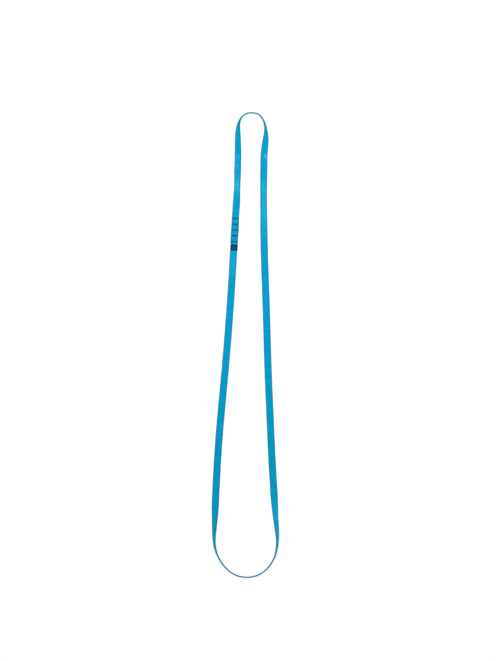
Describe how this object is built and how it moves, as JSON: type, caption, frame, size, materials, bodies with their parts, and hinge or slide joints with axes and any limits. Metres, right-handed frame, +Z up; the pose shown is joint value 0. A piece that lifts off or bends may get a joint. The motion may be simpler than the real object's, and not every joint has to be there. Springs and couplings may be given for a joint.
{
  "type": "flat web sling",
  "caption": "Endless flat web sling: a loop of flat polyester webbing, its ends lapped and sewn with crosswise bar tacks, with a blank label band; folds in half.",
  "frame": {"origin": "middle of the outline, on the surface that the sling lies on", "axes": "+X to the right leg, +Y along the sling towards the narrow upper bight, +Z up out of the legs' upper faces"},
  "size_m": [0.1664, 1.1465, 0.0181],
  "materials": {
    "webbing": "plain woven polyester webbing, bright blue, soft matt sheen",
    "thread": "dark blue bonded polyester sewing thread",
    "label": "dark navy woven label tape, blank"
  },
  "bodies": {
    "lower_loop": {"webbing_lower_bight": "webbing"},
    "upper_loop": {"webbing_upper_bight": "webbing", "webbing_lap_leg": "webbing", "bar_tack_1_needle_thread": "thread", "bar_tack_1_bobbin_thread": "thread", "bar_tack_2_needle_thread": "thread", "bar_tack_2_bobbin_thread": "thread", "bar_tack_3_needle_thread": "thread", "bar_tack_3_bobbin_thread": "thread", "bar_tack_4_needle_thread": "thread", "bar_tack_4_bobbin_thread": "thread", "bar_tack_5_needle_thread": "thread", "bar_tack_5_bobbin_thread": "thread", "label_band": "label", "label_seam_upper_needle_thread": "thread", "label_seam_upper_bobbin_thread": "thread", "label_seam_lower_needle_thread": "thread", "label_seam_lower_bobbin_thread": "thread"}
  },
  "joints": [
    {"name": "fold_in_half", "type": "hinge", "parent": "lower_loop", "child": "upper_loop", "pos_m": [0, 0.012, 0.005], "axis": [1, 0, 0], "range_deg": [0, 179]}
  ]
}
